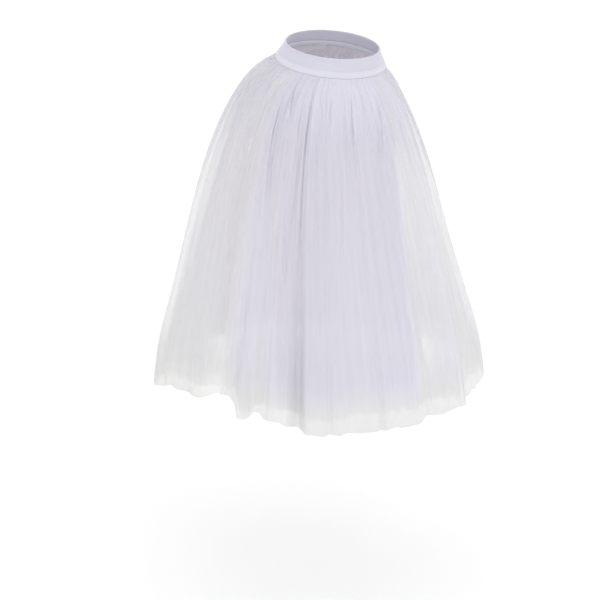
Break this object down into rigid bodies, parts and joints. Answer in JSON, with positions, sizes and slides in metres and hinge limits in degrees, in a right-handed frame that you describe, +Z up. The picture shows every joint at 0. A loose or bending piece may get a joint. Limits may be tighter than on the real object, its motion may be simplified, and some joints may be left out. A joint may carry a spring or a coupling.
{
  "type": "romantic ballet tutu",
  "caption": "Calf-length ballet skirt of gathered white tulle in three layers on a shaped waistband, in its worn form, open at waist and hem.",
  "frame": {"origin": "centre of the waistband, half way up it, where the wearer's waist holds the skirt", "axes": "+Z up along the standing wearer, the wearer faces -Y, the wearer's left is +X"},
  "size_m": [0.7154, 0.7275, 0.7803],
  "materials": {
    "white_satin": "smooth white stretch satin, soft sheen",
    "white_tulle": "sheer white nylon tulle, matte, fine gathers"
  },
  "bodies": {
    "root": {"waistband": "white_satin", "seam_binding": "white_satin", "tulle_outer": "white_tulle", "tulle_middle": "white_tulle", "tulle_under": "white_tulle"}
  },
  "joints": []
}
